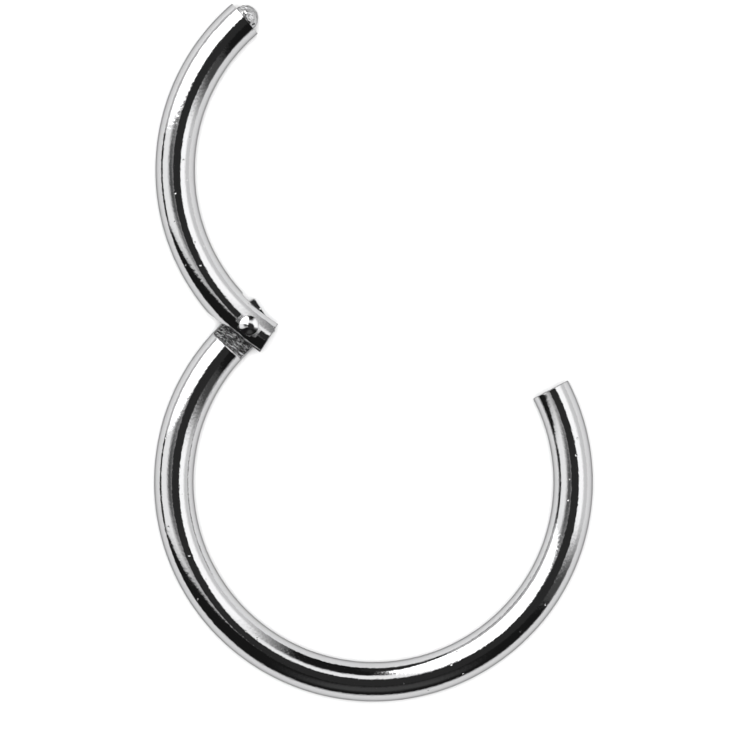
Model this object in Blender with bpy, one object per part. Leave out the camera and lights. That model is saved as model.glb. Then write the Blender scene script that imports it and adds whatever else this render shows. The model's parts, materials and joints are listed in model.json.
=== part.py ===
"""Hinged segment ring for a pierced nose, one wire gauge all round, standing open on its side.

The hoop is a bent wire with a flat tongue at its hinge end and a countersunk socket at the other.
The segment closes the circle: its fork straddles the tongue on a riveted pin, and a round catch on
its free end drops into the socket. The ring lies flat, so its own axis and the hinge's are +Z.
Lengths are in metres and angles in radians. Ring angles run anticlockwise from +X.
"""
import math

import bmesh
import bpy
from mathutils import Vector

MM = 0.001

# Wire and circle
WIRE_DIAMETER = 1.02 * MM
INSIDE_DIAMETER = 9.30 * MM
SOCKET_END_ANGLE = math.radians(27.6)
HINGE_ANGLE = math.radians(128.4)
OPENING_ANGLE = math.radians(102.7)
EDGE_BREAK = 0.02 * MM

# Tongue and fork, their reach counted past the pin along the wire
TONGUE_THICKNESS = 0.36 * MM
TONGUE_REACH = 0.50 * MM
TONGUE_END_ROUNDING = 0.05 * MM
FORK_REACH = 0.60 * MM
FORK_FLAT_ANGLE = math.radians(130.1)
FORK_FLAT_DEPTH = 0.13 * MM
CHEEK_CLEARANCE = 0.03 * MM
SWING_CLEARANCE = 0.02 * MM

# Riveted pin, its seats counted from the wire's top and bottom
PIN_RADIUS = 0.20 * MM
HEAD_RADIUS = 0.25 * MM
HEAD_RISE = 0.08 * MM
SEAT_DEPTH = 0.11 * MM
FOOT_RECESS = 0.02 * MM
FOOT_CHAMFER = 0.05 * MM
PIN_CLEARANCE = 0.025 * MM
PIN_END_FLOAT = 0.015 * MM

# Catch and socket
END_GAP = 0.03 * MM
CATCH_NECK = 0.01 * MM
CATCH_ROOT = 0.15 * MM
CATCH_CLEARANCE = 0.025 * MM
SOCKET_RIM_WALL = 0.06 * MM

# Facets
SECTION_SIDES = 24
TURNED_SIDES = 24
STEP_ANGLE = math.radians(2.5)
ROUNDING_STEPS = 3
DOME_STEPS = 5
SHARP_ANGLE = math.radians(30)
MERGE_DISTANCE = 0.0001 * MM

# Sizes that follow from those above
WIRE_RADIUS = WIRE_DIAMETER / 2
BEND_RADIUS = INSIDE_DIAMETER / 2 + WIRE_RADIUS
TONGUE_HALF = TONGUE_THICKNESS / 2
SLOT_HALF = TONGUE_HALF + CHEEK_CLEARANCE
FORK_FLAT_RADIUS = BEND_RADIUS + WIRE_RADIUS - FORK_FLAT_DEPTH
SEGMENT_END_ANGLE = SOCKET_END_ANGLE + END_GAP / BEND_RADIUS
TONGUE_END_ANGLE = HINGE_ANGLE - TONGUE_REACH / BEND_RADIUS
FORK_END_ANGLE = HINGE_ANGLE + FORK_REACH / BEND_RADIUS


def ring_point(angle):
    """A point on the wire's centreline."""
    return Vector((BEND_RADIUS * math.cos(angle), BEND_RADIUS * math.sin(angle), 0))


def angle_clear_of(reach, corner_radius, rounding):
    """Ring angle between the pin and a square face that clears an end's outer corner as it swings."""
    turn = reach / BEND_RADIUS
    along = corner_radius * math.sin(turn)
    across = corner_radius * math.cos(turn) - BEND_RADIUS
    swing = math.hypot(along - rounding, across - rounding) + rounding
    return math.asin((swing + SWING_CLEARANCE) / BEND_RADIUS)


PIN_CENTRE = ring_point(HINGE_ANGLE)
FORK_CORNER_RADIUS = FORK_FLAT_RADIUS / math.cos(FORK_END_ANGLE - FORK_FLAT_ANGLE)
TONGUE_CORNER_RADIUS = BEND_RADIUS + WIRE_RADIUS
SHOULDER_ANGLE = HINGE_ANGLE + angle_clear_of(FORK_REACH, FORK_CORNER_RADIUS, 0)
SLOT_BOTTOM_ANGLE = HINGE_ANGLE - angle_clear_of(TONGUE_REACH, TONGUE_CORNER_RADIUS, TONGUE_END_ROUNDING)

# The catch leaves its socket square to its line from the pin, and the countersink opens that wide
EXIT_ANGLE = math.pi / 2 - (HINGE_ANGLE - SEGMENT_END_ANGLE) / 2
SOCKET_RIM_RADIUS = WIRE_RADIUS - SOCKET_RIM_WALL
SOCKET_RIM_DEPTH = END_GAP - CATCH_NECK
SOCKET_RADIUS = SOCKET_RIM_RADIUS * math.cos(EXIT_ANGLE) + SOCKET_RIM_DEPTH * math.sin(EXIT_ANGLE)
CATCH_RADIUS = SOCKET_RADIUS - CATCH_CLEARANCE


def clear_scene():
    for item in list(bpy.context.scene.objects):
        bpy.data.objects.remove(item, do_unlink=True)


def steel(name, colour, roughness):
    """Bare surgical steel."""
    material = bpy.data.materials.new(name)
    material.use_nodes = True
    shader = material.node_tree.nodes["Principled BSDF"]
    shader.inputs["Base Color"].default_value = (*colour, 1.0)
    shader.inputs["Metallic"].default_value = 1.0
    shader.inputs["Roughness"].default_value = roughness
    return material


def empty(name, location, turn=0.0, parent=None):
    """A plain axis on which pieces are hung."""
    item = bpy.data.objects.new(name, None)
    item.location = location
    item.rotation_euler = (0, 0, turn)
    item.parent = parent
    bpy.context.scene.collection.objects.link(item)
    return item


def finished(bm, name, parent):
    """Turn the bmesh into a named object with its faces pointing out."""
    bmesh.ops.recalc_face_normals(bm, faces=bm.faces)
    mesh = bpy.data.meshes.new(name)
    bm.to_mesh(mesh)
    bm.free()
    mesh.shade_smooth()
    mesh.set_sharp_from_angle(angle=SHARP_ANGLE)
    item = bpy.data.objects.new(name, mesh)
    item.parent = parent
    bpy.context.scene.collection.objects.link(item)
    return item


def wire_arc(start, end):
    """The wire's section swept round the circle, closed at both ends, with a flat facet to lie on."""
    bm = bmesh.new()
    corner = WIRE_RADIUS / math.cos(math.pi / SECTION_SIDES)
    section = []
    for side in range(SECTION_SIDES):
        turn = (side + 0.5) * 2 * math.pi / SECTION_SIDES
        radius = BEND_RADIUS + corner * math.cos(turn)
        place = (radius * math.cos(start), radius * math.sin(start), corner * math.sin(turn))
        section.append(bm.verts.new(place))
    loop = [bm.edges.new(pair) for pair in zip(section, section[1:] + section[:1])]
    bmesh.ops.spin(
        bm,
        geom=section + loop,
        cent=(0, 0, 0),
        axis=(0, 0, 1),
        angle=end - start,
        steps=math.ceil((end - start) / STEP_ANGLE),
    )
    bmesh.ops.holes_fill(bm, edges=[edge for edge in bm.edges if edge.is_boundary])
    return bm


def round_end(bm, angle, rounding, steps):
    """Round the rim of the wire's end face at this ring angle."""
    centre = ring_point(angle)
    end_faces = [face for face in bm.faces if len(face.verts) == SECTION_SIDES]
    face = min(end_faces, key=lambda face: (face.calc_center_median() - centre).length)
    bmesh.ops.bevel(
        bm,
        geom=face.edges[:],
        offset=rounding,
        segments=steps,
        profile=0.5,
        affect="EDGES",
    )


def turned(outline, name, parent):
    """Turn an outline of (radius, height) points about Z. It starts and ends on the axis."""
    bm = bmesh.new()
    verts = [bm.verts.new((radius, 0, height)) for radius, height in outline]
    edges = [bm.edges.new(pair) for pair in zip(verts, verts[1:])]
    bmesh.ops.spin(
        bm,
        geom=verts + edges,
        cent=(0, 0, 0),
        axis=(0, 0, 1),
        angle=2 * math.pi,
        steps=TURNED_SIDES,
    )
    bmesh.ops.remove_doubles(bm, verts=bm.verts, dist=MERGE_DISTANCE)
    return finished(bm, name, parent)


def dome(radius, centre_height, start):
    """Outline points of a ball's upper side, from an angle above its equator to its top."""
    turns = [start + (math.pi / 2 - start) * step / DOME_STEPS for step in range(DOME_STEPS)]
    arc = [(radius * math.cos(turn), centre_height + radius * math.sin(turn)) for turn in turns]
    return arc + [(0, centre_height + radius)]


def block(low, high, name, parent):
    """A plain box between two corners."""
    bm = bmesh.new()
    bmesh.ops.create_cube(bm, size=1)
    size = Vector(high) - Vector(low)
    bmesh.ops.scale(bm, vec=size, verts=bm.verts)
    bmesh.ops.translate(bm, vec=Vector(low) + size / 2, verts=bm.verts)
    return finished(bm, name, parent)


def combine(item, tool, operation):
    """Cut the tool's shape from the piece or join it on. The tool itself stays hidden."""
    tool.hide_render = True
    tool.display_type = "WIRE"
    modifier = item.modifiers.new(tool.name, "BOOLEAN")
    modifier.operation = operation
    modifier.solver = "EXACT"
    modifier.object = tool


def cut_between(item, face_angle, length, low, high, name, origin):
    """Mill the wire away from a square face at a ring angle, for a signed length along the wire."""
    ends = sorted((0, length))
    tool = block(
        (BEND_RADIUS - WIRE_DIAMETER, ends[0], low),
        (BEND_RADIUS + WIRE_DIAMETER, ends[1], high),
        name,
        item.parent,
    )
    tool.location = origin
    tool.rotation_euler = (0, 0, face_angle)
    combine(item, tool, "DIFFERENCE")


def file_flat(item, origin):
    """File the fork's outer side flat, so that its corner swings clear of the shoulder."""
    tool = block(
        (FORK_FLAT_RADIUS, -2 * WIRE_DIAMETER, -WIRE_DIAMETER),
        (FORK_FLAT_RADIUS + WIRE_DIAMETER, 2 * WIRE_DIAMETER, WIRE_DIAMETER),
        "outer_flat",
        item.parent,
    )
    tool.location = origin
    tool.rotation_euler = (0, 0, FORK_FLAT_ANGLE)
    combine(item, tool, "DIFFERENCE")


def make_hoop(ring, material):
    """The long part of the circle, anticlockwise from the tongue to the socket."""
    socket_end = SOCKET_END_ANGLE + 2 * math.pi
    bm = wire_arc(TONGUE_END_ANGLE, socket_end)
    round_end(bm, TONGUE_END_ANGLE, TONGUE_END_ROUNDING, ROUNDING_STEPS)
    round_end(bm, socket_end, EDGE_BREAK, 1)
    hoop = finished(bm, "hoop", ring)
    hoop.data.materials.append(material)

    past_tip = BEND_RADIUS * (TONGUE_END_ANGLE - SHOULDER_ANGLE) - WIRE_DIAMETER
    centre = Vector((0, 0, 0))
    cut_between(hoop, SHOULDER_ANGLE, past_tip, TONGUE_HALF, WIRE_DIAMETER, "upper_relief", centre)
    cut_between(hoop, SHOULDER_ANGLE, past_tip, -WIRE_DIAMETER, -TONGUE_HALF, "lower_relief", centre)

    bore_radius = PIN_RADIUS + PIN_CLEARANCE
    outline = [(0, -WIRE_RADIUS), (bore_radius, -WIRE_RADIUS), (bore_radius, WIRE_RADIUS), (0, WIRE_RADIUS)]
    bore = turned(outline, "tongue_bore", ring)
    bore.location = PIN_CENTRE
    combine(hoop, bore, "DIFFERENCE")

    socket = socket_tool(ring)
    combine(hoop, socket, "DIFFERENCE")
    return hoop


def socket_tool(ring):
    """A round-bottomed countersink about the closed catch, its mouth towards the segment."""
    mouth = -WIRE_RADIUS / 2
    mouth_radius = SOCKET_RADIUS / math.cos(EXIT_ANGLE) - mouth * math.tan(EXIT_ANGLE)
    outline = [(0, mouth), (mouth_radius, mouth)] + dome(SOCKET_RADIUS, 0, EXIT_ANGLE)
    tool = turned(outline, "socket", ring)
    set_on_end(tool, Vector((0, 0, 0)))
    return tool


def set_on_end(item, origin):
    """Centre a turned piece on the closed catch, its own Z pointing out of the segment's end."""
    outwards = Vector((math.sin(SEGMENT_END_ANGLE), -math.cos(SEGMENT_END_ANGLE), 0))
    item.location = origin + ring_point(SEGMENT_END_ANGLE) + CATCH_NECK * outwards
    item.rotation_euler = (math.pi / 2, 0, SEGMENT_END_ANGLE)


def make_segment(hinge, material):
    """The short part of the circle, modelled closed about the hinge's axis and turned open by it."""
    bm = wire_arc(SEGMENT_END_ANGLE, FORK_END_ANGLE)
    round_end(bm, SEGMENT_END_ANGLE, EDGE_BREAK, 1)
    round_end(bm, FORK_END_ANGLE, EDGE_BREAK, 1)
    bmesh.ops.translate(bm, vec=-PIN_CENTRE, verts=bm.verts)
    segment = finished(bm, "segment", hinge)
    segment.data.materials.append(material)

    past_fork = BEND_RADIUS * (FORK_END_ANGLE - SLOT_BOTTOM_ANGLE) + WIRE_DIAMETER
    cut_between(segment, SLOT_BOTTOM_ANGLE, past_fork, -SLOT_HALF, SLOT_HALF, "slot", -PIN_CENTRE)
    file_flat(segment, -PIN_CENTRE)
    combine(segment, stepped_bore(hinge), "DIFFERENCE")

    outline = [(0, -CATCH_ROOT), (CATCH_RADIUS, -CATCH_ROOT)] + dome(CATCH_RADIUS, 0, 0)
    catch = turned(outline, "catch", hinge)
    set_on_end(catch, -PIN_CENTRE)
    combine(segment, catch, "UNION")
    return segment


def stepped_bore(hinge):
    """The pin's bore through both cheeks, with a seat for its head above and its foot below."""
    bore_radius = PIN_RADIUS + PIN_CLEARANCE
    seat_radius = HEAD_RADIUS + PIN_CLEARANCE
    seat = WIRE_RADIUS - SEAT_DEPTH
    outline = [
        (0, -WIRE_DIAMETER),
        (seat_radius, -WIRE_DIAMETER),
        (seat_radius, -seat),
        (bore_radius, -seat),
        (bore_radius, seat),
        (seat_radius, seat),
        (seat_radius, WIRE_DIAMETER),
        (0, WIRE_DIAMETER),
    ]
    return turned(outline, "stepped_bore", hinge)


def make_pin(hinge, material):
    """A rivet with a domed head standing proud and a filed foot just inside the wire's bottom."""
    foot_low = FOOT_RECESS - WIRE_RADIUS
    foot_high = SEAT_DEPTH - PIN_END_FLOAT - WIRE_RADIUS
    dome_radius = (HEAD_RADIUS**2 + HEAD_RISE**2) / (2 * HEAD_RISE)
    outline = [
        (0, foot_low),
        (HEAD_RADIUS - FOOT_CHAMFER, foot_low),
        (HEAD_RADIUS, foot_low + FOOT_CHAMFER),
        (HEAD_RADIUS, foot_high),
        (PIN_RADIUS, foot_high),
        (PIN_RADIUS, -foot_high),
        (HEAD_RADIUS, -foot_high),
    ]
    outline += dome(dome_radius, WIRE_RADIUS + HEAD_RISE - dome_radius, math.acos(HEAD_RADIUS / dome_radius))
    pin = turned(outline, "hinge_pin", hinge)
    pin.data.materials.append(material)
    return pin


def stand_on_floor(ring, pieces):
    """Move the ring so that its pieces' box stands on the floor, centred over the origin."""
    bpy.context.view_layer.update()
    graph = bpy.context.evaluated_depsgraph_get()
    corners = []
    for piece in pieces:
        shown = piece.evaluated_get(graph)
        corners += [shown.matrix_world @ vertex.co for vertex in shown.data.vertices]
    low = Vector(min(corner[axis] for corner in corners) for axis in range(3))
    high = Vector(max(corner[axis] for corner in corners) for axis in range(3))
    ring.location -= Vector(((low.x + high.x) / 2, (low.y + high.y) / 2, low.z))


def main():
    clear_scene()
    polished = steel("polished_steel", (0.66, 0.66, 0.68), 0.06)
    riveted = steel("riveted_steel", (0.58, 0.58, 0.60), 0.14)
    ring = empty("ring_axis", (0, 0, 0))
    hinge = empty("hinge_axis", PIN_CENTRE, OPENING_ANGLE, ring)
    hoop = make_hoop(ring, polished)
    segment = make_segment(hinge, polished)
    pin = make_pin(hinge, riveted)
    stand_on_floor(ring, (hoop, segment, pin))


main()
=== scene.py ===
"""Looks of a hinged segment ring for a pierced nose: mirror-polished steel wire, open, on a pale floor.

The ring lies flat and the camera looks straight down on it. Lengths are in metres, or in
millimetres where a name or a comment says so. Ring angles run anticlockwise from +X about the
hoop's centre, and section angles from the ring's outward side up over the wire.
"""
import json
import math

import bmesh
import bpy
from mathutils import Matrix, Vector, noise


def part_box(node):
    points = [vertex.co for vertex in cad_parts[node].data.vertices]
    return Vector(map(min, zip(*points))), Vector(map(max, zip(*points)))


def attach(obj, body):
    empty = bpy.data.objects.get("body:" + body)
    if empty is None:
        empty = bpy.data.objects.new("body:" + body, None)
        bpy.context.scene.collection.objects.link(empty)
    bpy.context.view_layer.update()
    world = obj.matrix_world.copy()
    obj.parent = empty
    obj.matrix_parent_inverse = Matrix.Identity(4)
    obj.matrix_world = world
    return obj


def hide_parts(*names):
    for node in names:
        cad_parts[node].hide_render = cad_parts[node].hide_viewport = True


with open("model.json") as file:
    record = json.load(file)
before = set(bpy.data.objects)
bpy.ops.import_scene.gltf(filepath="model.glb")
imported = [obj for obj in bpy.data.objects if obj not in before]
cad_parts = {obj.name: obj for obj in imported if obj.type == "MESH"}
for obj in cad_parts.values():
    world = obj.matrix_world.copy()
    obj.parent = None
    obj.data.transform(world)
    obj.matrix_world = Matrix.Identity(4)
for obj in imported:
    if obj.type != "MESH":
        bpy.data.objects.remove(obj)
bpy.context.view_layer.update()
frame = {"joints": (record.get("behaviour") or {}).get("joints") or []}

MM = 0.001
UP = Vector((0, 0, 1))

# Sizes that the frame gives
HOOP_LOW, HOOP_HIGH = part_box("hoop")
WIRE_RADIUS = (HOOP_HIGH.z - HOOP_LOW.z) / 2
BEND_RADIUS = (HOOP_HIGH.x - HOOP_LOW.x) / 2 - WIRE_RADIUS
CENTRE = Vector(((HOOP_LOW.x + HOOP_HIGH.x) / 2, HOOP_LOW.y + BEND_RADIUS + WIRE_RADIUS, WIRE_RADIUS))
HINGE = frame["joints"][0]
PIN = Vector(HINGE["pos_m"])
HINGE_ANGLE = math.atan2(PIN.y - CENTRE.y, PIN.x - CENTRE.x)
OPENING_ANGLE = -math.radians(HINGE["range_deg"][0])

# Sizes that the solids have too
SOCKET_END_ANGLE = math.radians(27.6) + 2 * math.pi
END_GAP = 0.03 * MM
SHOULDER_ANGLE = math.radians(136.87)
SLOT_BOTTOM_ANGLE = math.radians(120.26)
TONGUE_HALF = 0.18 * MM
TONGUE_REACH = 0.50 * MM
TONGUE_END_ROUNDING = 0.05 * MM
SLOT_HALF = 0.21 * MM
FORK_REACH = 0.60 * MM
FORK_FLAT_ANGLE = math.radians(130.1)
FORK_FLAT_DEPTH = 0.13 * MM
PIN_RADIUS = 0.20 * MM
PIN_CLEARANCE = 0.025 * MM
PIN_END_FLOAT = 0.015 * MM
HEAD_RADIUS = 0.25 * MM
HEAD_RISE = 0.08 * MM
SEAT_DEPTH = 0.11 * MM
FOOT_RECESS = 0.02 * MM
FOOT_CHAMFER = 0.05 * MM
CATCH_RADIUS = 0.334 * MM
CATCH_NECK = 0.01 * MM
SOCKET_RADIUS = 0.359 * MM
SOCKET_RIM_RADIUS = 0.45 * MM
SOCKET_HALF_ANGLE = math.radians(39.77)

# Small forms that only show here
SOCKET_TAPER_REACH = 0.13 * MM
SOCKET_TAPER_DROP = 0.002 * MM
SOCKET_END_ROUNDING = 0.012 * MM
SOCKET_MOUTH_WIDENING = 0.005 * MM
FREE_END_ROUNDING = 0.004 * MM
FORK_END_ROUNDING = 0.012 * MM
SHOULDER_ROUNDING = 0.05 * MM
SHOULDER_STEP_LEAN = 0.001 * MM
TONGUE_EDGE_ROUNDING = 0.015 * MM
TONGUE_TIP_POLISH = 0.35 * MM
HEAD_SEAT_FIT = 0.003 * MM
CATCH_LUMP_SIZE = 0.10 * MM
CATCH_LUMP_HEIGHT = 0.030 * MM
CATCH_LUMP_SEED = 36

# Fineness of the surfaces
EVEN_POINTS = 192
PLAIN_STEP = math.radians(1.5)
ROUNDING_STEPS = 6
FACE_STEPS = 6
DOME_STEPS = 28
TURNED_STEPS = 96
FILLET_POWER = 60
MERGE_DISTANCE = 0.0001 * MM

# Shading: what counts as a sharp edge, and what as the round wire
SHARP_ANGLE = math.radians(28)
WIRE_TOLERANCE = 0.001 * MM
WIRE_LEAN_TOLERANCE = math.radians(10)

# The picture: its width, the point of the ring at its middle, and the lens and sensor in millimetres
PICTURE_WIDTH = 19.38 * MM
PICTURE_MIDDLE = (0.04 * MM, -0.573 * MM)
LENS = 400.0
SENSOR_WIDTH = 36.0

# Floor and the overhead light, in metres and watts
FLOOR_SIZE = 2.0
FLOOR_TONE = 0.88
LIGHT_WIDTH = 0.3
LIGHT_HEIGHT = 0.5
LIGHT_POWER = 2.9

# The steels of the wire, in the order of its material slots
# The EDGE steel is painted dark, as shade along the ends' edges
POLISHED, MACHINED, CATCH, EDGE = range(4)

# How much of the steel's shine is left where it is seen edge on
RIM_TINT = 0.25
CATCH_RIM_TINT = 0.2

# Ring angles that follow from those above
TONGUE_END_ANGLE = HINGE_ANGLE - TONGUE_REACH / BEND_RADIUS
FORK_END_ANGLE = HINGE_ANGLE + FORK_REACH / BEND_RADIUS
FREE_END_ANGLE = SOCKET_END_ANGLE - 2 * math.pi + END_GAP / BEND_RADIUS
SHOULDER_RIM_ANGLE = SHOULDER_ANGLE + SHOULDER_STEP_LEAN / BEND_RADIUS * FACE_STEPS

# Angles round the wire's section: evenly spaced ones, and the four corners of the tongue
EVEN_ANGLES = [(step + 0.5) * 2 * math.pi / EVEN_POINTS for step in range(EVEN_POINTS)]
TONGUE_CORNER = math.asin(TONGUE_HALF / WIRE_RADIUS)
CORNER_ANGLES = [
    TONGUE_CORNER,
    math.pi - TONGUE_CORNER,
    math.pi + TONGUE_CORNER,
    2 * math.pi - TONGUE_CORNER,
]
SECTION_ANGLES = sorted(EVEN_ANGLES + CORNER_ANGLES)
SECTION_POINTS = len(SECTION_ANGLES)


def directions(angle):
    """Outwards from the ring's centre, and along the wire, at a ring angle."""
    outward = Vector((math.cos(angle), math.sin(angle), 0))
    along = Vector((-math.sin(angle), math.cos(angle), 0))
    return outward, along


def inset(depth, rounding):
    """How far a rounded rim has drawn in at this depth behind the end face."""
    turn = math.acos(max(0.0, 1 - depth / rounding))
    return rounding * (1 - math.sin(turn))


def depths_from_end(rounding):
    """Depths at which a rounded rim gets a section, from just behind the end face back."""
    turns = [math.pi / 2 * (step + 1) / ROUNDING_STEPS for step in range(ROUNDING_STEPS)]
    return [rounding * (1 - math.cos(turn)) for turn in turns]


def depths_to_end(rounding):
    """The same for a rim that the skin comes to from behind, out to the end face itself."""
    return reversed([0.0] + depths_from_end(rounding)[:-1])


def circle(radius):
    """The round wire's section, as a radius for each section angle."""
    return [radius] * SECTION_POINTS


def slab(radius, half_thickness):
    """The wire's section milled flat above and below, as a radius for each section angle."""
    return [min(radius, half_thickness / abs(math.sin(turn))) for turn in SECTION_ANGLES]


def wider(radii, radius):
    """A section joined with a round one, with a small fillet where they meet."""
    return [((one / radius) ** FILLET_POWER + 1) ** (1 / FILLET_POWER) * radius for one in radii]


def spaced(start, end, step):
    """Angles from start to end, evenly spaced and at most a step apart."""
    count = max(1, math.ceil(abs(end - start) / step))
    return [start + (end - start) * index / count for index in range(count + 1)]


def as_object(bm, name):
    """Turn the bmesh into an object with its faces pointing out."""
    bmesh.ops.recalc_face_normals(bm, faces=bm.faces)
    data = bpy.data.meshes.new(name)
    bm.to_mesh(data)
    bm.free()
    item = bpy.data.objects.new(name, data)
    bpy.context.scene.collection.objects.link(item)
    return item


class Loft:
    """A skin through sections of the bent wire.

    Each point keeps its place on the straightened wire, in millimetres, for the materials.
    """

    def __init__(self):
        self.mesh = bmesh.new()
        self.place = self.mesh.verts.layers.float_vector.new("wire_place")
        self.last = None

    def add(self, angle, radii, ahead=0.0, finish=POLISHED, shift=None):
        """Add a section at a ring angle, moved straight ahead along the wire's direction there.

        The faces back to the section before it get the finish, and shift moves each point.
        """
        outward, along = directions(angle)
        middle = CENTRE + BEND_RADIUS * outward + ahead * along
        section = []
        for turn, radius in zip(SECTION_ANGLES, radii):
            side, height = radius * math.cos(turn), radius * math.sin(turn)
            vert = self.mesh.verts.new(middle + side * outward + height * UP)
            if shift:
                vert.co += shift(vert.co)
            vert[self.place] = Vector((BEND_RADIUS * angle + ahead, side, height)) / MM
            section.append(vert)
        if self.last:
            self.join(self.last, section, finish)
        self.last = section

    def join(self, one, other, finish):
        """Add the faces between two sections."""
        for index in range(SECTION_POINTS):
            following = (index + 1) % SECTION_POINTS
            face = self.mesh.faces.new((one[index], one[following], other[following], other[index]))
            face.material_index = finish
            face.smooth = True

    def tip(self, angle, ahead, finish):
        """Close the skin from the last section to a point on the wire's centreline."""
        outward, along = directions(angle)
        vert = self.mesh.verts.new(CENTRE + BEND_RADIUS * outward + ahead * along)
        vert[self.place] = Vector((BEND_RADIUS * angle + ahead, 0, 0)) / MM
        for index in range(SECTION_POINTS):
            following = (index + 1) % SECTION_POINTS
            face = self.mesh.faces.new((self.last[index], self.last[following], vert))
            face.material_index = finish
            face.smooth = True

    def finished(self, name, materials, matrix=Matrix.Identity(4)):
        """The skin as an object, moved by the matrix."""
        bmesh.ops.transform(self.mesh, matrix=matrix, verts=self.mesh.verts)
        item = as_object(self.mesh, name)
        for material in materials:
            item.data.materials.append(material)
        return item


def add_tongue(loft):
    """The tongue, from the middle of its end face to the shoulder."""
    face_radius = WIRE_RADIUS - TONGUE_END_ROUNDING
    face_half = TONGUE_HALF - TONGUE_EDGE_ROUNDING

    # The end face, from its middle out
    shares = [(step + 1) / FACE_STEPS for step in range(FACE_STEPS)]
    loft.add(TONGUE_END_ANGLE, slab(face_radius * shares[0], face_half * shares[0]))
    loft.tip(TONGUE_END_ANGLE, 0, MACHINED)
    for share in shares[1:]:
        loft.add(TONGUE_END_ANGLE, slab(face_radius * share, face_half * share), finish=MACHINED)

    # Its rounded corners and edges
    for depth in sorted(depths_from_end(TONGUE_END_ROUNDING) + depths_from_end(TONGUE_EDGE_ROUNDING)):
        radius = WIRE_RADIUS - inset(depth, TONGUE_END_ROUNDING)
        half = TONGUE_HALF - inset(depth, TONGUE_EDGE_ROUNDING)
        loft.add(TONGUE_END_ANGLE + depth / BEND_RADIUS, slab(radius, half), finish=POLISHED)

    # The run to the shoulder, polished near the tip
    start = TONGUE_END_ANGLE + TONGUE_END_ROUNDING / BEND_RADIUS
    polish_end = TONGUE_END_ANGLE + TONGUE_TIP_POLISH / BEND_RADIUS
    for angle in spaced(start, SHOULDER_ANGLE, PLAIN_STEP / 2)[1:]:
        finish = POLISHED if angle < polish_end else MACHINED
        loft.add(angle, slab(WIRE_RADIUS, TONGUE_HALF), finish=finish)


def add_shoulder(loft):
    """The shoulder's milled face and its rounded rim, growing out of the tongue."""
    tongue = slab(WIRE_RADIUS, TONGUE_HALF)
    rim = WIRE_RADIUS - SHOULDER_ROUNDING
    for index in range(1, FACE_STEPS + 1):
        radius = TONGUE_HALF + (rim - TONGUE_HALF) * index / FACE_STEPS
        angle = SHOULDER_ANGLE + SHOULDER_STEP_LEAN / BEND_RADIUS * index
        loft.add(angle, wider(tongue, radius), finish=MACHINED)
    for depth in depths_from_end(SHOULDER_ROUNDING):
        radius = WIRE_RADIUS - inset(depth, SHOULDER_ROUNDING)
        angle = SHOULDER_RIM_ANGLE + depth / BEND_RADIUS
        loft.add(angle, [max(one, radius) for one in tongue], finish=MACHINED)


def add_plain_wire(loft, start, end):
    """Round wire on from a section that is already there."""
    for angle in spaced(start, end, PLAIN_STEP)[1:]:
        loft.add(angle, circle(WIRE_RADIUS), finish=POLISHED)


def add_socket_end(loft, start):
    """The hoop's other end: slight taper, broken edge, flat land, countersink and round bottom."""

    # The slight taper and the broken edge
    taper = SOCKET_TAPER_REACH - SOCKET_END_ROUNDING
    for step in range(1, 2 * ROUNDING_STEPS + 1):
        share = step / (2 * ROUNDING_STEPS)
        radius = WIRE_RADIUS - SOCKET_TAPER_DROP * share**2
        loft.add(start + share * taper / BEND_RADIUS, circle(radius), finish=POLISHED)
    for depth in depths_to_end(SOCKET_END_ROUNDING):
        drop = SOCKET_TAPER_DROP + inset(depth, SOCKET_END_ROUNDING)
        loft.add(SOCKET_END_ANGLE - depth / BEND_RADIUS, circle(WIRE_RADIUS - drop), finish=EDGE)

    # The flat land, then the countersink and its bottom, round about a point just past the end face
    loft.add(SOCKET_END_ANGLE, circle(SOCKET_RIM_RADIUS + SOCKET_MOUTH_WIDENING), finish=MACHINED)
    centre_ahead = END_GAP - CATCH_NECK
    for step in range(DOME_STEPS):
        turn = SOCKET_HALF_ANGLE + (math.pi / 2 - SOCKET_HALF_ANGLE) * step / DOME_STEPS
        depth = SOCKET_RADIUS * math.sin(turn) - centre_ahead
        loft.add(SOCKET_END_ANGLE, circle(SOCKET_RADIUS * math.cos(turn)), ahead=-depth, finish=MACHINED)
    loft.tip(SOCKET_END_ANGLE, centre_ahead - SOCKET_RADIUS, MACHINED)


def make_hoop(materials):
    """The long part of the ring, from its tongue round to its socket."""
    loft = Loft()
    add_tongue(loft)
    add_shoulder(loft)
    taper_start = SOCKET_END_ANGLE - SOCKET_TAPER_REACH / BEND_RADIUS
    add_plain_wire(loft, SHOULDER_RIM_ANGLE + SHOULDER_ROUNDING / BEND_RADIUS, taper_start)
    add_socket_end(loft, taper_start)
    hoop = loft.finished("hoop_wire", materials)
    cut(hoop, drum("tongue_bore", PIN_RADIUS + PIN_CLEARANCE, -WIRE_RADIUS, WIRE_RADIUS))
    return hoop


def add_catch(loft):
    """The segment's free end: the catch from its tip down, the end face and its rim."""
    # The catch, with the same lumps in each run
    noise.seed_set(CATCH_LUMP_SEED)
    for step in range(1, DOME_STEPS + 1):
        turn = math.pi / 2 * (1 - step / DOME_STEPS)
        ahead = -CATCH_NECK - CATCH_RADIUS * math.sin(turn)
        loft.add(FREE_END_ANGLE, circle(CATCH_RADIUS * math.cos(turn)), ahead, CATCH, hammered)
        if step == 1:
            loft.tip(FREE_END_ANGLE, -CATCH_NECK - CATCH_RADIUS, CATCH)

    # The flat end face and its rim
    face_radius = WIRE_RADIUS - FREE_END_ROUNDING
    for index in range(FACE_STEPS + 1):
        radius = CATCH_RADIUS + (face_radius - CATCH_RADIUS) * index / FACE_STEPS
        loft.add(FREE_END_ANGLE, circle(radius), finish=MACHINED)
    for depth in depths_from_end(FREE_END_ROUNDING):
        radius = WIRE_RADIUS - inset(depth, FREE_END_ROUNDING)
        loft.add(FREE_END_ANGLE + depth / BEND_RADIUS, circle(radius), finish=EDGE)


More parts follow.
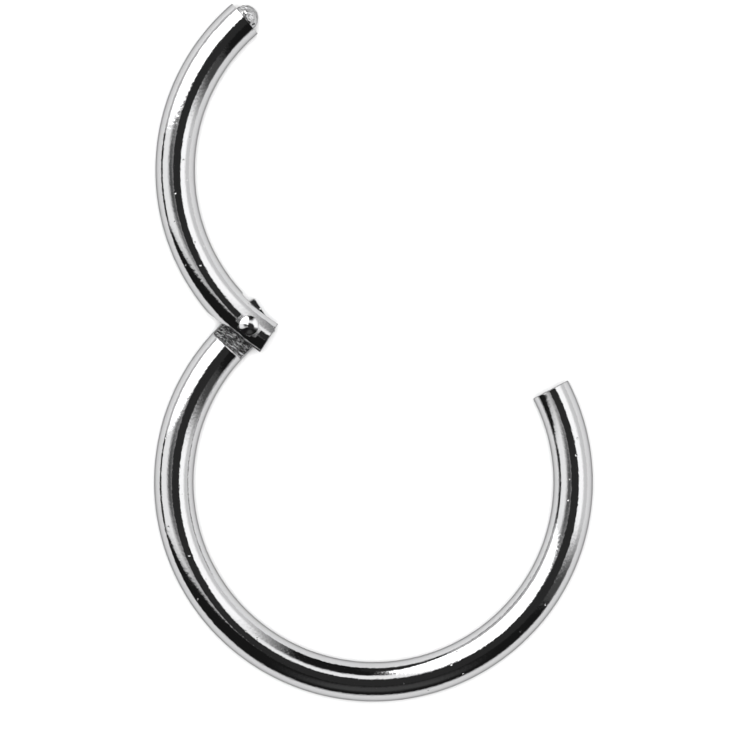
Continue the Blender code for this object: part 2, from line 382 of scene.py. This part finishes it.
def add_fork_end(loft):
    """The segment's other end, rounded and closed, before the fork is cut into it."""
    for depth in depths_to_end(FORK_END_ROUNDING):
        radius = WIRE_RADIUS - inset(depth, FORK_END_ROUNDING)
        loft.add(FORK_END_ANGLE - depth / BEND_RADIUS, circle(radius), finish=EDGE)
    face_radius = WIRE_RADIUS - FORK_END_ROUNDING
    for index in range(1, FACE_STEPS):
        loft.add(FORK_END_ANGLE, circle(face_radius * (1 - index / FACE_STEPS)), finish=POLISHED)
    loft.tip(FORK_END_ANGLE, 0, POLISHED)


def make_segment(materials):
    """The short part of the ring, skinned closed, turned open about the pin and then cut."""
    loft = Loft()
    add_catch(loft)
    start = FREE_END_ANGLE + FREE_END_ROUNDING / BEND_RADIUS
    add_plain_wire(loft, start, FORK_END_ANGLE - FORK_END_ROUNDING / BEND_RADIUS)
    add_fork_end(loft)
    segment = loft.finished("segment_wire", materials, opened())
    cut(segment, slot_tool())
    cut(segment, flat_tool())
    seat_radius = HEAD_RADIUS + HEAD_SEAT_FIT
    cut(segment, drum("head_seat", seat_radius, WIRE_RADIUS - SEAT_DEPTH, 2 * WIRE_RADIUS))
    cut(segment, drum("foot_seat", seat_radius, -2 * WIRE_RADIUS, SEAT_DEPTH - WIRE_RADIUS))
    cut(segment, drum("fork_bore", PIN_RADIUS + PIN_CLEARANCE, -WIRE_RADIUS, WIRE_RADIUS))
    return segment


def opened():
    """The turn about the pin that opens the segment."""
    return Matrix.Translation(PIN) @ Matrix.Rotation(OPENING_ANGLE, 4, "Z") @ Matrix.Translation(-PIN)


def hammered(point):
    """A small uneven shift that gives the catch its lumpy skin."""
    return CATCH_LUMP_HEIGHT * noise.noise_vector(point / CATCH_LUMP_SIZE)


def block(name, low, high, angle):
    """A cutting block between two corners of a ring that is turned to this ring angle, then opened."""
    bm = bmesh.new()
    bmesh.ops.create_cube(bm, size=1)
    size = Vector(high) - Vector(low)
    bmesh.ops.scale(bm, vec=size, verts=bm.verts)
    bmesh.ops.translate(bm, vec=Vector(low) + size / 2, verts=bm.verts)
    turn = Matrix.Translation(CENTRE) @ Matrix.Rotation(angle, 4, "Z")
    bmesh.ops.transform(bm, matrix=opened() @ turn, verts=bm.verts)
    return as_object(bm, name)


def slot_tool():
    """The fork's slot, from its bottom to past the fork's end."""
    low = (BEND_RADIUS - 2 * WIRE_RADIUS, 0, -SLOT_HALF)
    high = (BEND_RADIUS + 2 * WIRE_RADIUS, 4 * WIRE_RADIUS, SLOT_HALF)
    return block("fork_slot", low, high, SLOT_BOTTOM_ANGLE)


def flat_tool():
    """What is filed off the fork's outer side."""
    flat = BEND_RADIUS + WIRE_RADIUS - FORK_FLAT_DEPTH
    low = (flat, -4 * WIRE_RADIUS, -2 * WIRE_RADIUS)
    high = (flat + 2 * WIRE_RADIUS, 4 * WIRE_RADIUS, 2 * WIRE_RADIUS)
    return block("fork_flat", low, high, FORK_FLAT_ANGLE)


def drum(name, radius, low, high):
    """A round cutting tool about the pin, between two heights from the wire's middle."""
    bm = bmesh.new()
    bmesh.ops.create_cone(
        bm,
        cap_ends=True,
        segments=TURNED_STEPS,
        radius1=radius,
        radius2=radius,
        depth=high - low,
    )
    bmesh.ops.translate(bm, vec=PIN + UP * (low + high) / 2, verts=bm.verts)
    return as_object(bm, name)


def cut(item, tool):
    """Cut the tool's shape out of the piece for good, and take the tool away."""
    modifier = item.modifiers.new(tool.name, "BOOLEAN")
    modifier.operation = "DIFFERENCE"
    modifier.solver = "EXACT"
    modifier.object = tool
    work_in_modifiers(item)
    bpy.data.objects.remove(tool, do_unlink=True)


def work_in_modifiers(item):
    """Give the piece the mesh that its modifiers make of it, and clear them."""
    bpy.context.view_layer.update()
    graph = bpy.context.evaluated_depsgraph_get()
    mesh = bpy.data.meshes.new_from_object(item.evaluated_get(graph))
    item.modifiers.clear()
    item.data = mesh


def make_pin(material):
    """The rivet, turned: filed foot, shank and domed head."""
    foot_low = FOOT_RECESS - WIRE_RADIUS
    foot_high = SEAT_DEPTH - PIN_END_FLOAT - WIRE_RADIUS
    head_low = -foot_high
    dome_radius = (HEAD_RADIUS**2 + HEAD_RISE**2) / (2 * HEAD_RISE)
    dome_centre = WIRE_RADIUS + HEAD_RISE - dome_radius
    dome_start = math.acos(HEAD_RADIUS / dome_radius)

    # Radii and heights of the outline, from the foot's middle round to the top of the head
    outline = [
        (0, foot_low),
        (HEAD_RADIUS - FOOT_CHAMFER, foot_low),
        (HEAD_RADIUS, foot_low + FOOT_CHAMFER),
        (HEAD_RADIUS, foot_high),
        (PIN_RADIUS, foot_high),
        (PIN_RADIUS, head_low),
        (HEAD_RADIUS, head_low),
    ]
    for step in range(DOME_STEPS):
        turn = dome_start + (math.pi / 2 - dome_start) * step / DOME_STEPS
        outline.append((dome_radius * math.cos(turn), dome_centre + dome_radius * math.sin(turn)))
    outline.append((0, dome_centre + dome_radius))

    # The outline spun about the pin
    bm = bmesh.new()
    verts = [bm.verts.new((radius, 0, height)) for radius, height in outline]
    edges = [bm.edges.new(pair) for pair in zip(verts, verts[1:])]
    bmesh.ops.spin(
        bm,
        geom=verts + edges,
        cent=(0, 0, 0),
        axis=UP,
        angle=2 * math.pi,
        steps=TURNED_STEPS,
    )
    bmesh.ops.remove_doubles(bm, verts=bm.verts, dist=MERGE_DISTANCE)
    bmesh.ops.translate(bm, vec=PIN, verts=bm.verts)
    pin = as_object(bm, "rivet")
    pin.data.materials.append(material)
    return pin


def shade(item):
    """Smooth faces with crisp edges, leaning each normal to the larger face beside it."""
    item.data.shade_smooth()
    item.data.set_sharp_from_angle(angle=SHARP_ANGLE)
    modifier = item.modifiers.new("even_normals", "WEIGHTED_NORMAL")
    modifier.keep_sharp = True
    work_in_modifiers(item)


def round_wire(item, bend_centre):
    """Point the normals of the round wire straight out from its bent centreline."""
    mesh = item.data
    normals = [Vector(corner.vector) for corner in mesh.corner_normals]
    for face in mesh.polygons:
        for corner in face.loop_indices:
            point = mesh.vertices[mesh.loops[corner].vertex_index].co
            outward = Vector((point.x - bend_centre.x, point.y - bend_centre.y, 0)).normalized()
            radial = point - (Vector((bend_centre.x, bend_centre.y, WIRE_RADIUS)) + BEND_RADIUS * outward)
            on_wire = abs(radial.length - WIRE_RADIUS) < WIRE_TOLERANCE
            if on_wire and face.normal.dot(radial.normalized()) > math.cos(WIRE_LEAN_TOLERANCE):
                normals[corner] = radial.normalized()
    mesh.normals_split_custom_set(normals)


def metal(name, colour, rim_tint=RIM_TINT):
    """A bare metal of this colour, less bright where it is seen edge on."""
    material = bpy.data.materials.new(name)
    material.use_nodes = True
    nodes, links = material.node_tree.nodes, material.node_tree.links
    shader = nodes["Principled BSDF"]
    shader.inputs["Base Color"].default_value = (*colour, 1)
    shader.inputs["Metallic"].default_value = 1
    shader.inputs["Specular Tint"].default_value = (rim_tint, rim_tint, rim_tint, 1)
    return material, nodes, links, shader


def wire_place(nodes, links, stretch):
    """Millimetres along the straightened wire, outwards and up, scaled by stretch."""
    place = nodes.new("ShaderNodeAttribute")
    place.attribute_name = "wire_place"
    scaled = nodes.new("ShaderNodeVectorMath")
    scaled.operation = "MULTIPLY"
    scaled.inputs[1].default_value = stretch
    links.new(place.outputs["Vector"], scaled.inputs[0])
    return scaled.outputs["Vector"]


def mottle(nodes, links, place, scale, detail):
    """Soft noise with this many patches to the unit of place."""
    texture = nodes.new("ShaderNodeTexNoise")
    texture.inputs["Scale"].default_value = scale
    texture.inputs["Detail"].default_value = detail
    links.new(place, texture.inputs["Vector"])
    return texture.outputs["Fac"]


def ranged(nodes, links, value, low, high, to_low=0.0, to_high=1.0):
    """Carry a value's range smoothly over to another."""
    node = nodes.new("ShaderNodeMapRange")
    node.interpolation_type = "SMOOTHSTEP"
    node.inputs["From Min"].default_value = low
    node.inputs["From Max"].default_value = high
    node.inputs["To Min"].default_value = to_low
    node.inputs["To Max"].default_value = to_high
    links.new(value, node.inputs["Value"])
    return node.outputs["Result"]


def roughened(nodes, links, shader, pattern, smooth, rough, low=0.35, high=0.65):
    """Make the metal smooth where the pattern is low and rough where it is high."""
    roughness = ranged(nodes, links, pattern, low, high, smooth, rough)
    links.new(roughness, shader.inputs["Roughness"])


def relief(nodes, links, height, depth, below=None):
    """Bump of this real depth, on top of another."""
    node = nodes.new("ShaderNodeBump")
    node.inputs["Strength"].default_value = 1
    node.inputs["Distance"].default_value = depth
    links.new(height, node.inputs["Height"])
    if below:
        links.new(below, node.inputs["Normal"])
    return node.outputs["Normal"]


def polished_steel():
    """Mirror finish with the faint drawing lines, waves and pits of tumbled wire."""
    material, nodes, links, shader = metal("polished_steel", (0.54, 0.54, 0.545))
    place = wire_place(nodes, links, (1, 1, 1))
    drawn = wire_place(nodes, links, (0.7, 1, 1))
    grain = mottle(nodes, links, drawn, scale=17, detail=3)
    waves = mottle(nodes, links, place, scale=1.1, detail=0)
    bump = relief(nodes, links, waves, depth=0.002 * MM)
    bump = relief(nodes, links, grain, depth=0.0021 * MM, below=bump)
    for pits_to_a_mm, pit_size in ((2.6, 0.09), (1.3, 0.06)):
        pits = nodes.new("ShaderNodeTexVoronoi")
        pits.inputs["Scale"].default_value = pits_to_a_mm
        links.new(place, pits.inputs["Vector"])
        pit = ranged(nodes, links, pits.outputs["Distance"], pit_size / 4, pit_size)
        bump = relief(nodes, links, pit, depth=0.006 * MM, below=bump)
    links.new(bump, shader.inputs["Normal"])
    clouds = mottle(nodes, links, place, scale=3, detail=3)
    roughened(nodes, links, shader, clouds, smooth=0.03, rough=0.075, low=0.3, high=0.7)
    return material


def machined_steel():
    """Milled faces: dull, with cutter marks running across the wire and a torn grain over them."""
    material, nodes, links, shader = metal("machined_steel", (0.50, 0.50, 0.505))
    marks = mottle(nodes, links, wire_place(nodes, links, (1, 0.22, 0.4)), scale=14, detail=3)
    torn = mottle(nodes, links, wire_place(nodes, links, (1, 0.5, 1)), scale=13, detail=2)
    bump = relief(nodes, links, marks, depth=0.026 * MM)
    bump = relief(nodes, links, torn, depth=0.014 * MM, below=bump)
    links.new(bump, shader.inputs["Normal"])
    roughened(nodes, links, shader, marks, smooth=0.06, rough=0.18)
    return material


def catch_steel():
    """The catch's lumpy skin, as it was formed."""
    material, nodes, links, shader = metal("catch_steel", (0.47, 0.47, 0.475), CATCH_RIM_TINT)
    lumps = mottle(nodes, links, wire_place(nodes, links, (1, 1, 1)), scale=12, detail=2)
    links.new(relief(nodes, links, lumps, depth=0.026 * MM), shader.inputs["Normal"])
    roughened(nodes, links, shader, lumps, smooth=0.06, rough=0.15)
    return material


def painted_shade_edge_steel():
    """The narrow edges left by the saw and broken by hand, painted a little dark as shade along them."""
    # Painted shade: a base colour far below the other steels, which draws a dark line along each end's
    # edge
    material, nodes, links, shader = metal("painted_shade_edge_steel", (0.24, 0.24, 0.243))
    marks = mottle(nodes, links, wire_place(nodes, links, (1, 1, 1)), scale=20, detail=2)
    links.new(relief(nodes, links, marks, depth=0.004 * MM), shader.inputs["Normal"])
    roughened(nodes, links, shader, marks, smooth=0.25, rough=0.4)
    return material


def rivet_steel():
    """The rivet's set head: polished, with faint hammer marks."""
    material, nodes, links, shader = metal("rivet_steel", (0.56, 0.56, 0.565))
    place = nodes.new("ShaderNodeTexCoord").outputs["Object"]
    marks = mottle(nodes, links, place, scale=9 / MM, detail=2)
    links.new(relief(nodes, links, marks, depth=0.003 * MM), shader.inputs["Normal"])
    roughened(nodes, links, shader, marks, smooth=0.05, rough=0.12)
    return material


def towards(azimuth, elevation):
    """Unit direction from the ring, azimuth anticlockwise from +X, both in degrees."""
    a, e = math.radians(azimuth), math.radians(elevation)
    return Vector((math.cos(e) * math.cos(a), math.cos(e) * math.sin(a), math.sin(e)))


def card(nodes, links, direction, behind, corners, brightness, blur):
    """A flat card of the studio, seen between these directions, in front of what is behind it."""
    points = [towards(*corner) for corner in corners]
    middle = sum(points, Vector()) / len(points)
    soft = math.sin(math.radians(blur))
    shape = None
    for one, other in zip(points, points[1:] + points[:1]):
        normal = one.cross(other).normalized()
        if normal.dot(middle) < 0:
            normal.negate()
        side = nodes.new("ShaderNodeVectorMath")
        side.operation = "DOT_PRODUCT"
        side.inputs[1].default_value = normal
        links.new(direction, side.inputs[0])
        inside = ranged(nodes, links, side.outputs["Value"], -soft, soft)
        if shape is None:
            shape = inside
            continue
        both = nodes.new("ShaderNodeMath")
        both.operation = "MULTIPLY"
        links.new(shape, both.inputs[0])
        links.new(inside, both.inputs[1])
        shape = both.outputs["Value"]
    mix = nodes.new("ShaderNodeMix")
    mix.inputs["B"].default_value = brightness
    links.new(shape, mix.inputs["Factor"])
    if isinstance(behind, float):
        mix.inputs["A"].default_value = behind
    else:
        links.new(behind, mix.inputs["A"])
    return mix.outputs["Result"]


# The studio's brightness: its bare wall, what the floor gets from it, and the whole
WALL_BRIGHTNESS = 0.92
ROOM_BRIGHTNESS = 0.3
STUDIO_STRENGTH = 1.09

# Its cards from the back to the front: corner directions in degrees, brightness, degrees of edge blur
CARDS = [
    ("light wall", [(-22, 24), (50, 24), (56, 62), (-28, 62)], 1.6, 8),
    ("high light", [(50, 48), (112, 48), (112, 78), (30, 72)], 1.35, 4),
    ("low light", [(165, 12), (193, 12), (222, 74), (165, 60)], 1.3, 3),
    ("grey wedge", [(155, 50), (184, 50), (205, 60), (225, 76), (215, 83), (140, 82)], 0.12, 11),
    ("dark haze", [(230, 5), (341, 1), (341, 60), (270, 78)], 0.09, 9),
    ("dark side", [(198.5, 1), (262, 8), (325, 2), (322, 62), (270, 82)], 0.014, 2),
    ("side foot", [(193, 1), (195, 17), (200, 29), (208, 42), (215, 42), (225, 5)], 0.014, 1.2),
    ("dim wall", [(250, 28), (295, 28), (292, 58), (253, 58)], 0.08, 9),
    (
        "ceiling",
        [
            (325, 50), (0, 56), (30, 62), (60, 70), (90, 73),
            (130, 77), (165, 77), (215, 77), (240, 70), (262, 66),
        ],
        0.036,
        1.5,
    ),
    ("flag haze", [(54, -4), (55, 51), (92, 51), (92, -4)], 0.22, 8),
    ("dark flag", [(62, 0), (63, 48), (97, 51), (93, 24), (91, 0)], 0.014, 3),
    ("flag foot", [(86, 1), (86, 28), (96, 27), (124, 5), (118, 1)], 0.03, 2),
    ("softbox foot", [(116, -1), (112, 13), (167, 16), (167, -1)], 0.7, 1.5),
    ("dark strip", [(167, 1), (168, 13), (192, 15), (195, 0)], 0.03, 2),
    ("softbox", [(141, 81.4), (94, 29), (110, 12.5), (167, 15)], 2.6, 0.8),
]


def make_studio():
    """The surroundings that the steel mirrors. The floor gets an even share of their light."""
    world = bpy.data.worlds.new("studio")
    bpy.context.scene.world = world
    world.use_nodes = True
    nodes, links = world.node_tree.nodes, world.node_tree.links
    direction = nodes.new("ShaderNodeTexCoord").outputs["Generated"]
    light = WALL_BRIGHTNESS
    for _, corners, brightness, blur in CARDS:
        light = card(nodes, links, direction, light, corners, brightness, blur)
    path = nodes.new("ShaderNodeLightPath")
    for ray, brightness in (("Is Diffuse Ray", ROOM_BRIGHTNESS), ("Is Camera Ray", 1.0)):
        plain = nodes.new("ShaderNodeMix")
        plain.inputs["B"].default_value = brightness
        links.new(path.outputs[ray], plain.inputs["Factor"])
        links.new(light, plain.inputs["A"])
        light = plain.outputs["Result"]
    links.new(light, nodes["Background"].inputs["Color"])
    nodes["Background"].inputs["Strength"].default_value = STUDIO_STRENGTH


def make_floor():
    """A pale matt floor at the height that the ring lies on."""
    bpy.ops.mesh.primitive_plane_add(size=FLOOR_SIZE, location=(0, 0, 0))
    floor = bpy.context.object
    floor.name = "floor"
    material = bpy.data.materials.new("pale_floor")
    material.use_nodes = True
    shader = material.node_tree.nodes["Principled BSDF"]
    shader.inputs["Base Color"].default_value = (FLOOR_TONE, FLOOR_TONE, FLOOR_TONE, 1)
    shader.inputs["Roughness"].default_value = 0.6
    shader.inputs["Specular IOR Level"].default_value = 0.2
    floor.data.materials.append(material)


def make_overhead_light():
    """A wide soft light above the camera, which lays the shadows under the wire."""
    data = bpy.data.lights.new("overhead", "AREA")
    data.shape = "DISK"
    data.size = LIGHT_WIDTH
    data.energy = LIGHT_POWER
    light = bpy.data.objects.new("overhead", data)
    light.location = (0, 0, LIGHT_HEIGHT)
    light.visible_glossy = False
    light.visible_camera = False
    bpy.context.scene.collection.objects.link(light)


def make_camera():
    """Straight down, from far enough off that the wire's sides don't show."""
    data = bpy.data.cameras.new("camera")
    data.lens = LENS
    data.sensor_width = SENSOR_WIDTH
    data.clip_start = 0.01
    data.clip_end = 10.0
    camera = bpy.data.objects.new("camera", data)
    camera.location = (*PICTURE_MIDDLE, WIRE_RADIUS + PICTURE_WIDTH * LENS / SENSOR_WIDTH)
    bpy.context.scene.collection.objects.link(camera)
    bpy.context.scene.camera = camera


def main():
    """Make the camera, the ring's three pieces and what surrounds them."""
    make_camera()
    steels = [polished_steel(), machined_steel(), catch_steel(), painted_shade_edge_steel()]
    hoop = make_hoop(steels)
    segment = make_segment(steels)
    pin = make_pin(rivet_steel())
    for item in (hoop, segment, pin):
        shade(item)
    round_wire(hoop, CENTRE)
    round_wire(segment, opened() @ CENTRE)
    for item, node, body, slot in (
        (hoop, "hoop", "hoop", "polished_steel"),
        (segment, "segment", "segment", "polished_steel"),
        (pin, "hinge_pin", "segment", "riveted_steel"),
    ):
        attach(item, body)
        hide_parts(node)
    make_floor()
    make_overhead_light()
    make_studio()
    bpy.context.scene.view_settings.view_transform = "Standard"


main()
